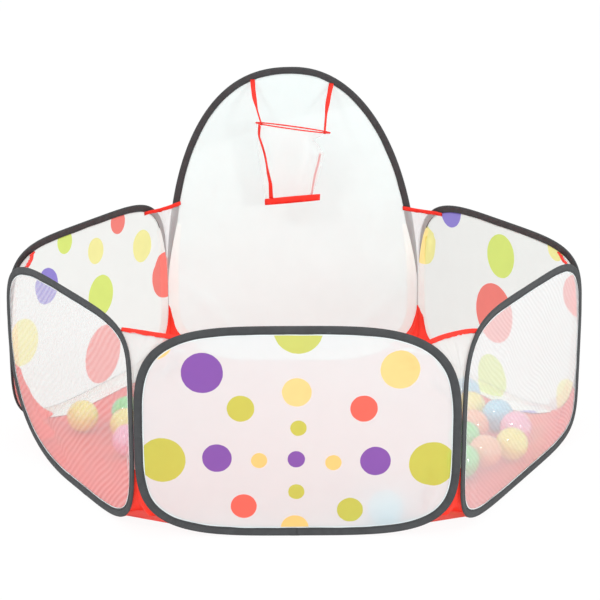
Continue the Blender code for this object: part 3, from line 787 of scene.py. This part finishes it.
def build_sheet(panel):
    """The panel's cloth, drawn tight in its hoop with gathers along the tape and a few soft folds."""
    path, normals, spacing = fine_outline(panel, 0.0075)
    middle = np.array((0.0, panel_height(panel) * 0.48))
    rings = [path + normals * depth for depth in SHEET_DEPTHS]
    last = rings[-1]
    inner = ARCH_INNER_RINGS if panel == "back" else INNER_RINGS
    rings += [last + (middle - last) * (i / inner) for i in range(1, inner)]
    edge = [np.full(len(path), depth) for depth in SHEET_DEPTHS]
    edge += [SHEET_DEPTHS[-1] + np.linalg.norm(ring - last, axis=1) for ring in rings[len(SHEET_DEPTHS):]]
    count = len(path)
    flat = np.concatenate(rings + [middle[None]])
    distance = np.concatenate(edge + [[0.2]])
    x, z = flat[:, 0], flat[:, 1]
    seed = panel_seed(panel, 3.7)
    bow = PANELS[panel].belly * (1 - (x / PANEL_HALF_WIDTH) ** 2) * (1 - (2 * z / panel_height(panel) - 1) ** 2)
    bow *= np.clip((distance - 0.015) / 0.05, 0, 1)
    gather = np.array([ripple(i % count * spacing * 42, seed) for i in range(len(flat))])
    gather *= 0.0011 * np.exp(-((distance - 0.016) / 0.020) ** 2) * np.clip((distance - 0.010) / 0.008, 0, 1)
    loose = np.array([0.0016 * ripple(a * 9, b * 9, seed) + 0.0005 * ripple(a * 30, b * 24, seed) for a, b in flat])
    fade = np.clip((distance - 0.012) / 0.03, 0, 1)
    points = np.stack([x, bow + gather + loose * fade + crease_height(panel, x, z) * fade, z], axis=1)
    faces = grid_faces(len(rings), count, closed_columns=True)
    last = (len(rings) - 1) * count
    faces += [(last + j, len(points) - 1, last + (j + 1) % count) for j in range(count)]
    cloth = add_mesh(f"{panel}_cloth", points, faces, panel, points[:, [0, 2]], MATRICES[panel],
                     body=panel_body(panel), node=f"{panel}_sheet")
    across, up = rings[0].T
    area = 0.5 * abs(np.sum(across * np.roll(up, -1) - up * np.roll(across, -1)))
    wide, high = float(np.ptp(across)), float(np.ptp(up))


def build_hem(panel):
    """The cloth's turned edge, which shows as a paler strip just inside the tape."""
    path, normals, spacing = fine_outline(panel, 0.006)
    seed = panel_seed(panel, 5.1)
    points, uvs = [], []
    for i, (place, normal) in enumerate(zip(path, normals)):
        wave = ripple(i * spacing * 26, seed)
        for depth in (0.0120, 0.0150, 0.0178 + 0.0006 * wave):
            x, z = place + normal * depth
            points.append((x, -0.0007 - 0.0004 * wave, z))
            uvs.append((i * spacing, depth))
    return add_grid(f"{panel}_hem", points, 3, "hem", (True, False), uvs=uvs, matrix=MATRICES[panel],
                    body=panel_body(panel))


# Gussets

def resample(path, count):
    """Evenly spaced points along a row of points."""
    lengths = [0.0]
    for a, b in zip(path, path[1:]):
        lengths.append(lengths[-1] + (b - a).length)
    wanted = np.linspace(0, lengths[-1], count)
    return [Vector([float(np.interp(reach, lengths, [point[i] for point in path])) for i in range(3)])
            for reach in wanted]


def uncovered(panel, height):
    """How much of the tape's width shows on the inside, at an outline height."""
    return FRONT_LAP if panel.startswith("front") else look_up(height, UNCOVERED_TAPE)


def gusset_row(corner, heights, depths, lift):
    """Cloth from a depth on one tape, over both tapes' edges, to a depth on the other. A wide gap draws it straight."""
    spot = CORNERS[corner]
    path = []
    for panel, side, height, depth in zip((spot.before, spot.after), (1, -1), heights, depths):
        offs = (1.0, 0.0016 + min(depth, 0.004) * 0.1), (0.6, 0.0029), (0.2, 0.0032), (-0.02, 0.0027)
        ends = [edge_at(panel, side, height, depth * share, off + lift) for share, off in offs]
        path += ends if side > 0 else ends[::-1]
    gap = (path[4] - path[3]).length
    taut = 0.25 + 0.6 * min(gap / 0.045, 1.0)
    return [point.lerp(path[0].lerp(path[-1], j / (GUSSET_COLUMNS - 1)), taut)
            for j, point in enumerate(resample(path, GUSSET_COLUMNS))], gap


def gather_row(corner, row, gap, seed, height, fold):
    """Small gathers, and leaf folds where there is loose cloth, always towards the inside."""
    inward = -direction(CORNERS[corner].degrees)
    for j, point in enumerate(row):
        share = j / (len(row) - 1)
        arch = 4 * share * (1 - share)
        gather = ripple(share * 6 + seed, height * 7, seed) + 0.5 * ripple(share * 14 + seed, height * 16, seed)
        point += inward * arch * (0.0006 + 0.0012 * (gather + 0.9) + fold * (1 - math.cos(4 * math.pi * share)) / 2
                                  + 0.02 * gap * gather)
    return row


def bend_at_corner(item, corner):
    """Bakes the placement of the cloth across its corner into its points."""
    spot = CORNERS[corner]
    middle = direction(spot.degrees) * SIDE_LENGTH + Vector((0, 0, CORNER_BEND_HEIGHT))
    panel_body(spot.before)
    panel_body(spot.after)
    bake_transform(item)


def flatten_on(item, panel):
    """Hangs the cloth on its own panel's body and gives it a mesh of its own."""
    facing = direction(PANELS[panel].facing)
    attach(item, panel_body(panel))
    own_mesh(item)


def corner_piece(name, corner, panel, points, columns, look, **options):
    """A piece across a corner or, at the corner that opens, the half that one panel carries."""
    item = add_grid(f"{name}_{panel}" if panel else name, points, columns, look, **options)
    if panel:
        flatten_on(item, panel)
    else:
        bend_at_corner(item, corner)
    return item


def grid_area(grid):
    total = 0.0
    for lower, upper in zip(grid, grid[1:]):
        for a, b, c, d in zip(lower, lower[1:], upper[1:], upper):
            total += (b - a).cross(c - a).length / 2 + (c - a).cross(d - a).length / 2
    return total


def build_gusset(corner, part, grid, look):
    """One piece across a corner, or two halves at the corner that opens."""
    spot = CORNERS[corner]
    halves = [("", grid)]
    if corner == OPEN_CORNER:
        half = len(grid[0]) // 2
        halves = [(spot.before, [row[:half + 1] for row in grid]), (spot.after, [row[half:] for row in grid])]
    for panel, rows in halves:
        points = [point for row in rows for point in row]
        item = corner_piece(f"gusset_{corner}_{part}_cloth", corner, panel, points, len(rows[0]), look,
                            node=f"gusset_{corner}_{part}")
        area = grid_area(rows)


def smoothed(line, passes):
    """A row of points with its small unevenness worn away. The two ends stay."""
    for _ in range(passes):
        line = [line[0]] + [(a + b * 2 + c) / 4 for a, b, c in zip(line, line[1:], line[2:])] + [line[-1]]
    return line


def build_binding(corner, grid):
    """Red tape folded over the gusset's top edge, slightly twisted along its length."""
    spot = CORNERS[corner]
    top, below = smoothed(grid[-1], 14), smoothed(grid[-5], 14)
    rings = []
    count = len(top)
    size = len(BINDING_SECTION)
    for j in range(count):
        along = (top[min(j + 1, count - 1)] - top[max(j - 1, 0)]).normalized()
        rise = (top[j] - below[j]).normalized()
        rise = (rise - along * rise.dot(along)).normalized()
        twist = 0.35 * ripple(j * 0.30, sum(top[0]) * 9) * math.sin(math.pi * j / (count - 1)) ** 0.5
        rise = Matrix.Rotation(twist, 3, along) @ rise
        across = along.cross(rise)
        wide = 1 + 0.14 * ripple(j * 0.4, 4.0, sum(top[0]))
        rings.append([top[j] + across * off + rise * up * wide for off, up in BINDING_SECTION])
    first, last = spot.skipped[0], count - spot.skipped[1]
    halves = [("", rings[first:last])]
    if corner == OPEN_CORNER:
        halves = [(spot.before, rings[first:count // 2 + 1]), (spot.after, rings[count // 2:last])]
    for panel, part in halves:
        uvs = [(i * 0.004, j * 0.003) for i in range(len(part)) for j in range(size)]
        corner_piece(f"binding_{corner}_tape", corner, panel, [point for ring in part for point in ring], size,
                     "red_tape", closed=(False, True), capped=True, uvs=uvs, node=f"binding_{corner}")


def build_corner(corner):
    """The sheer cloth above, with its red binding, and the red cloth below."""
    spot = CORNERS[corner]
    panels = (spot.before, spot.after)
    seed = spot.degrees * 0.13
    upper, lower = [], []
    for i in range(UPPER_ROWS):
        share = i / (UPPER_ROWS - 1)
        heights = [spot.change + (top - spot.change) * share ** 0.85 for top in spot.tops]
        depths = [uncovered(panel, height) + 0.0006 for panel, height in zip(panels, heights)]
        row, gap = gusset_row(corner, heights, depths, 0.0010)
        row = gather_row(corner, row, gap, seed, heights[0], 0.0)
        sag = spot.sag * share ** 3
        for j, point in enumerate(row):
            point.z -= sag * 4 * (j / (GUSSET_COLUMNS - 1)) * (1 - j / (GUSSET_COLUMNS - 1))
        upper.append(row)
    sheer = "back_sheer" if all(panel.startswith("back") for panel in panels) else "front_sheer"
    build_gusset(corner, "upper", upper, sheer)
    build_binding(corner, upper)
    laps = [LOWER_LAPS.get((corner, panel), FRONT_LOWER_LAPS) for panel in panels]
    for i in range(LOWER_ROWS):
        height = GUSSET_FOOT + (spot.change - GUSSET_FOOT) * i / (LOWER_ROWS - 1)
        row, gap = gusset_row(corner, (height, height), [look_up(height, table) for table in laps], 0.0006)
        lower.append(gather_row(corner, row, gap, seed + 9, height, 0.22 * gap))
    build_gusset(corner, "lower", lower, "red")


# Floor

def bottom_line(panel, count=41):
    """Places along the foot of a panel between its two corner cloths: across, height and inward direction."""
    left, right = [edge_values(panel, side, GUSSET_FOOT)[0] for side in (-1, 1)]
    line = []
    for across in np.linspace(-left, right, count):
        side = 1 if across > 0 else -1
        heights, reaches, inward, up = [values[:500] for values in EDGES[panel, side]]
        height = float(np.interp(abs(across), reaches, heights))
        line.append((float(across), height, side * float(np.interp(height, heights, inward)),
                     float(np.interp(height, heights, up))))
    return line


def foot_at(place, depth, off):
    """A place in the panel's own frame, at a depth in from its outline and off its middle plane."""
    across, height, inward, up = place
    return Vector((across + inward * depth, off, height + up * depth))


def floor_height(x, y, share, balls):
    """The floor's small puckers, which balls and seams flatten."""
    rise = 0.0034 * max(ripple(x * 13, y * 13, 2.0), 0.0) + 0.0022 * max(ripple(x * 31, y * 26, 5.0), 0.0)
    near = min(math.hypot(x - ball.x, y - ball.y) for ball in balls)
    return FLOOR_LEVEL + rise * (min(1.0, (1 - share) * 10 + 0.1) * clamp((near - 0.012) / 0.03))


def corner_middle(corner):
    """The middle of the floor's cut corner."""
    spot = CORNERS[corner]
    return (edge_at(spot.before, 1, GUSSET_FOOT, 0.0, FLOOR_EDGE_OFF)
            + edge_at(spot.after, -1, GUSSET_FOOT, 0.0, FLOOR_EDGE_OFF)) / 2


def weld_middle(item):
    """Joins the points that lie on each other at the middle of the floor."""
    edit = bmesh.new()
    edit.from_mesh(item.data)
    bmesh.ops.remove_doubles(edit, verts=edit.verts, dist=0.00005)
    edit.to_mesh(item.data)
    edit.free()


def build_floor(balls):
    """Six sectors of one red sheet, each sewn to its panel, with its corners drawn up to the corner cloths."""
    for panel in PANELS:
        ends = {side: corner_middle(corner) for corner, spot in CORNERS.items()
                for side, name in ((1, spot.before), (-1, spot.after)) if name == panel}
        line = bottom_line(panel)
        edge = [MATRICES[panel] @ foot_at(place, 0.0, FLOOR_EDGE_OFF) for place in line]
        left = [ends[-1].lerp(edge[0], i / 5) for i in range(5)]
        border = left + edge + [edge[-1].lerp(ends[1], i / 5) for i in range(1, 6)]
        points = []
        for i in range(FLOOR_RINGS + 1):
            share = i / FLOOR_RINGS
            lift = clamp((share - 0.83) / 0.17)
            for place in border:
                x, y = place.x * share, place.y * share
                low = floor_height(x, y, share, balls)
                points.append(Vector((x, y, low + max(place.z - low, 0.0) * lift)))
        count = len(border)
        faces = grid_faces(FLOOR_RINGS + 1, count)
        below = FLOOR_RINGS * count + len(left)
        for depth, off in FLOOR_LAPS:
            above = len(points)
            points += [MATRICES[panel] @ foot_at(place, depth, off) for place in line]
            faces += [(below + j, above + j, above + j + 1, below + j + 1) for j in range(len(line) - 1)]
            below = above
        item = add_mesh(f"{panel}_floor_cloth", points, faces, "red", node="floor_sheet" if panel == "back" else None)
        weld_middle(item)
        flatten_on(item, panel)
        surface_area(item)


def build_foot(panel, balls):
    """The panel's cloth where it covers the tape on the inside and laps onto the floor."""
    line = bottom_line(panel)
    reach = min(-line[0][0], line[-1][0])
    points = [foot_at(place, depth, off) for depth, off in FOOT_LAPS for place in line]
    uvs = [(point.x, point.z) for point in points]
    for share in FOOT_SHARES:
        for across, height, inward, up in line:
            fade = clamp((reach - 0.010 - abs(across)) / 0.090) ** 0.5
            wave = 1 + 0.06 * ripple(across * 14, PANELS[panel].facing * 0.1)
            off = FOOT_START + (FOOT_WIDTH - FOOT_START) * share * fade * wave
            point = MATRICES[panel] @ Vector((across, off, 0))
            low = floor_height(point.x, point.y, 0.94, balls) + 0.0016
            points.append(Vector((across, off, max(low, height + 0.0015))))
            uvs.append((across, height - off + FOOT_START))
    item = add_grid(f"{panel}_foot_cloth", points, len(line), f"{panel}_foot", uvs=uvs, matrix=MATRICES[panel])
    flatten_on(item, panel)
    return item


def build_facing(panel, side):
    """The panel's cloth beside a corner, where it covers the tape and, low down, reaches to the corner itself."""
    points = []
    full = (panel, side) == ("back_left", -1)
    inner = FRONT_FACING_INNER if panel == "front" else FACING_INNER
    for i in range(FACING_ROWS):
        height = GUSSET_FOOT + (FACING_TOP - GUSSET_FOOT) * i / (FACING_ROWS - 1)
        edge, across, up = edge_values(panel, side, height)
        outer = edge - (SIDE_LENGTH / 2 - 0.0006) if full and height < 0.25 else uncovered(panel, height)
        for j in range(FACING_COLUMNS):
            depth = inner + (outer - inner) * j / (FACING_COLUMNS - 1)
            x = side * (edge + across * max(depth, 0) - min(depth, 0))
            points.append((x, look_up(depth, FACING_HEIGHTS), height + up * max(depth, 0)))
    return add_grid(f"{panel}_{'right' if side > 0 else 'left'}_facing", points, FACING_COLUMNS, f"{panel}_lining",
                    uvs=[(x, z) for x, y, z in points], matrix=MATRICES[panel], body=panel_body(panel))


# Basketball hoop

RIM_TURN = Matrix.Rotation(RIM_ROLL, 4, "Y") @ Matrix.Rotation(-RIM_FRONT_RISE, 4, "X")
RIM_BACK = RIM_TURN @ Vector((0, RIM_RADIUS, 0))
RIM_CENTRE = Vector((0, APOTHEM - 0.0003 - 0.0003 - RIM_TUBE_RADIUS - RIM_BACK.y, RIM_HEIGHT))
RIM_UP = RIM_TURN @ Vector((0, 0, 1))


def rim_point(angle, radius=RIM_RADIUS):
    return RIM_CENTRE + RIM_TURN @ (around(angle) * radius)


def hem_point(angle, outward=0.0, drop=NET_HEIGHT):
    across = (NET_HEM_HALF_WIDTH + outward) * math.cos(angle)
    inward = (NET_HEM_HALF_DEPTH + outward) * math.sin(angle)
    return RIM_CENTRE + Vector((HEM_SHIFT + across, inward, -drop + HEM_ROLL * across - HEM_FRONT_RISE * inward))


def net_point(angle, share, outward=0.0):
    """A place on the net: straight down from the rim, drawn in towards the hem, with soft folds."""
    start = rim_point(angle, RIM_RADIUS + outward) - Vector((0, 0, RIM_TUBE_RADIUS))
    point = start.lerp(hem_point(angle, outward), share)
    fold = 0.0030 * math.cos(6 * angle + 1.5 * share) + 0.0024 * ripple(angle * 1.6, share * 3, 1.0)
    point += around(angle) * (fold * math.sin(math.pi * share))
    point.x -= max(math.cos(angle), 0) ** 2 * look_up(share, NET_RIGHT_DENTS)
    return point


def build_rim():
    """The wire rim in its gathered red casing."""
    def point_at(step, turn):
        i, angle = step
        thick = CASING_RADIUS * (1 + 0.2 * ripple(i * 0.9, 2.0))
        outward = RIM_TURN @ around(angle) * (RIM_RADIUS + thick * math.cos(turn))
        return RIM_CENTRE + outward + RIM_UP * thick * math.sin(turn)

    sweep("hoop_rim_casing", list(enumerate(circle(120))), [(turn,) for turn in circle(12)], point_at, "red_tape",
          (0.0045, 0.0014), body="hoop", node="hoop_rim")


def build_net():
    columns, rows = 96, 26
    points = [net_point(angle, i / (rows - 1)) for i in range(rows) for angle in circle(columns)]
    net = add_grid("hoop_net_cloth", points, columns, "net", (False, True), body="hoop", node="hoop_net")
    flat = (2 * math.pi * RIM_RADIUS, NET_HEIGHT + NET_ALLOWANCE)
    min(surface_area(net), flat[0] * flat[1])


def build_hem_band():
    """The red band round the foot of the net, a folded strip pressed nearly flat."""
    def point_at(angle, outward, down):
        wave = 0.0008 * ripple(math.cos(angle) * 4, math.sin(angle) * 4, down * 60)
        return hem_point(angle, outward + wave, NET_HEIGHT + down - 0.0004)

    sweep("hoop_hem_band", circle(72), HEM_SECTION, point_at, "red_tape", (0.0045, 0.002), body="hoop",
          node="hoop_hem")


def ribbon(name, places, half_thickness, **options):
    """A flat tape along a line of places: each is a point, a direction across the tape there and its half width."""
    line = [place[0] for place in places]
    points, uvs = [], []
    for i, (point, wide, half) in enumerate(places):
        along = (line[min(i + 1, len(line) - 1)] - line[max(i - 1, 0)]).normalized()
        across = (wide - along * wide.dot(along)).normalized()
        thick = along.cross(across).normalized() * half_thickness
        points += [point - across * half - thick * 0.5, point - thick, point + across * half - thick * 0.5,
                   point + across * half + thick * 0.5, point + thick, point - across * half + thick * 0.5]
        uvs += [(i * 0.004, (k % 3 - 1) * half) for k in range(6)]
    return add_grid(name, points, 6, "red_tape", (False, True), True, uvs=uvs, **options)


def build_net_seams():
    """Red tapes down both sides of the net. The right one lies on the inside."""
    steps = 30
    for name, first, outward, half_width, middle in (("left", 0.0, 0.0012, 0.0050, math.pi),
                                                     ("right", 0.33, -0.0016, 0.0040, 0.3)):
        places = []
        for i in range(steps):
            share = first + (1 - first) * i / (steps - 1)
            turn = math.radians(look_up(share, NET_SEAM_ANGLES)) if name == "left" else 0
            angle = middle + turn + 0.06 * ripple(share * 3, middle)
            places.append((net_point(angle, share, outward),
                           net_point(angle + 0.12, share, outward) - net_point(angle - 0.12, share, outward),
                           half_width * (1 + 0.2 * ripple(share * 7, middle + 2))))
        ribbon(f"hoop_net_{name}_tape", places, 0.0004, body="hoop")


def arch_height_at(side, across):
    squareness = PANELS["back"].squareness[0 if side < 0 else 1]
    widest = ARCH_HEIGHT * PANELS["back"].widest_share
    share = (across / PANEL_HALF_WIDTH) ** squareness
    return widest + (ARCH_HEIGHT - widest) * (1 - share) ** (1 / squareness)


def build_strap(word, side):
    """A twisted tape from the arch's tape down to the rim, looped once round it."""
    top = arch_height_at(side, STRAP_TOP_HALF_SPAN) - EDGING_WIDTH - STRAP_TOP_MARGIN
    start = Vector((side * (STRAP_TOP_HALF_SPAN - (0.0005 if side < 0 else 0.0035)), APOTHEM - 0.0012, top + 0.0065))
    angle = math.pi + STRAP_RIM_ANGLES[side] if side < 0 else -STRAP_RIM_ANGLES[side]
    end = rim_point(angle) + Vector((0, 0, CASING_RADIUS + 0.0005))
    run = (end - start).normalized()
    places = []
    steps = 34
    for i in range(steps):
        share = i / (steps - 1)
        point = start.lerp(end, share)
        point += Vector((side * 0.004 * math.sin(math.pi * share) * (1 if side < 0 else -0.6), 0, 0))
        turn = side * STRAP_TWIST * clamp((share - 0.38) / 0.27)
        places.append((point, Matrix.Rotation(turn, 3, run) @ Vector((1, 0, 0)),
                       STRAP_WIDTH / 2 * (1 - 0.25 * share + 0.08 * ripple(share * 6, side))))
    strap = ribbon(f"strap_{word}_tape", places, 0.0006, node=f"strap_{word}")
    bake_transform(strap)
    tangent = RIM_TURN @ Vector((-math.sin(angle), math.cos(angle), 0))
    outward = RIM_TURN @ around(angle)

    def point_at(turn, across, lift):
        radius = CASING_RADIUS * 1.1 + lift
        return (rim_point(angle) + tangent * across + outward * radius * math.cos(turn)
                + RIM_UP * radius * math.sin(turn))

    sweep(f"strap_{word}_tape_loop", circle(20), LOOP_SECTION, point_at, "red_tape", (0.001, 0.002), body="hoop")


# Balls

def ball_centre(node):
    low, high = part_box(node)
    return Vector(((low.x + high.x) / 2, (low.y + high.y) / 2, low.z + BALL_RADIUS))


def ball_points(segments, rings):
    """A moulded ball: a fine parting ridge round its middle and a small gate mark at one pole."""
    points = []
    for i in range(1, rings):
        polar = math.pi * i / rings
        level, girth = math.cos(polar), math.sin(polar)
        ridge = 0.00028 * math.exp(-(level / 0.022) ** 2)
        gate = -0.0008 * math.exp(-((1 - level) / 0.004) ** 2)
        for angle in circle(segments):
            x, y = girth * math.cos(angle), girth * math.sin(angle)
            radius = BALL_RADIUS + ridge + gate + 0.00025 * ripple(x * 2, y * 2, level) - 0.0002
            points.append(Vector((x, y, level)) * radius)
    return [Vector((0, 0, BALL_RADIUS - 0.0010))] + points + [Vector((0, 0, -BALL_RADIUS + 0.0002))]


def build_balls(names):
    segments, rings = 56, 44
    points = ball_points(segments, rings)
    last = len(points) - 1
    bottom = 1 + (rings - 2) * segments
    faces = [(0, 1 + j, 1 + (j + 1) % segments) for j in range(segments)]
    faces += [tuple(1 + k for k in face) for face in grid_faces(rings - 1, segments, closed_columns=True)]
    faces += [(last, bottom + (j + 1) % segments, bottom + j) for j in range(segments)]
    draw = random.Random(4)
    for node in names:
        turn = Matrix.Rotation(draw.uniform(0, 6.28), 4, Vector([draw.uniform(-1, 1) for _ in range(3)]).normalized())
        turn = turn.to_3x3()
        colour = node.split("_")[-1]
        add_mesh(f"{node}_shell", [turn @ point for point in points], faces, colour,
                 matrix=Matrix.Translation(ball_centre(node)), body=node, node=node)


# Camera, light and ground

def build_camera():
    data = bpy.data.cameras.new("camera")
    data.sensor_width = SENSOR_WIDTH
    data.lens = SENSOR_WIDTH * FOCAL_PIXELS / IMAGE_PIXELS
    data.clip_end = 100
    camera = add_object("camera", data)
    place = Vector((CAMERA_SIDE, -CAMERA_DISTANCE, CAMERA_HEIGHT))
    camera.location = Matrix.Rotation(-OBJECT_TURN, 3, "Z") @ place
    camera.rotation_euler = (math.pi / 2 - CAMERA_PITCH, 0, CAMERA_YAW - OBJECT_TURN)
    bpy.context.scene.camera = camera


def build_lights():
    for name, (place, aim, size, power_watts) in LAMPS.items():
        data = bpy.data.lights.new(name, "AREA")
        data.shape = "DISK"
        data.size = size
        data.energy = power_watts
        lamp = add_object(name, data)
        lamp.location = place
        lamp.rotation_euler = (Vector(aim) - Vector(place)).to_track_quat("-Z", "Y").to_euler()


def build_world():
    world = bpy.data.worlds.new("studio")
    bpy.context.scene.world = world
    nodes = Nodes(world)
    light = nodes.tree.nodes["Background"]
    nodes.fill(light, {"Color": (1, 1, 1, 1), "Strength": WORLD_STRENGTH})
    shown = nodes.add("Background", 0, {"Color": (1, 1, 1, 1), "Strength": 1.0})
    surface = nodes.mix(nodes.camera_sees(), light.outputs[0], shown)
    nodes.fill(nodes.tree.nodes["World Output"], {"Surface": surface})


def build_ground():
    nodes = material_nodes("studio_floor")
    LOOKS["ground"] = (nodes.paint((0.9, 0.9, 0.9, 1), Roughness=0.9, Specular_IOR_Level=0.0), None)
    share = nodes.math("MULTIPLY", nodes.camera_sees(), GROUND_WHITE_SHARE)
    surface = nodes.mix(share, nodes.shader.outputs[0], nodes.add("Emission", 0, {"Strength": 1.0}))
    nodes.fill(nodes.tree.nodes["Material Output"], {"Surface": surface})
    size = GROUND_HALF_SIZE
    ground = add_mesh("studio_ground", [(-size, -size, 0), (size, -size, 0), (size, size, 0), (-size, size, 0)],
                      [(0, 1, 2, 3)], "ground", smooth=False)
    ground.location.z = -0.0004


def main():
    build_camera()
    ball_names = sorted(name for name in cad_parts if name.startswith("ball_"))
    balls = [ball_centre(name) for name in ball_names]
    for panel in PANELS:
        build_edging(panel)
        build_tape_seams(panel)
        strips = [build_hem(panel)]
        if panel not in MESH_PANELS:
            strips += [build_facing(panel, 1), build_facing(panel, -1)]
            strips += [build_foot(panel, balls)]
        build_sheet(panel)
        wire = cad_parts[f"{panel}_wire"]
        wire.data.materials.clear()
        material, slot = LOOKS["steel"]
        wire.data.materials.append(material)
    for corner in CORNERS:
        build_corner(corner)
    build_floor(balls)
    build_rim()
    build_net()
    build_hem_band()
    build_net_seams()
    build_strap("left", -1)
    build_strap("right", 1)
    build_balls(ball_names)
    build_world()
    build_ground()
    build_lights()
    bpy.context.scene.view_settings.view_transform = "Standard"


main()
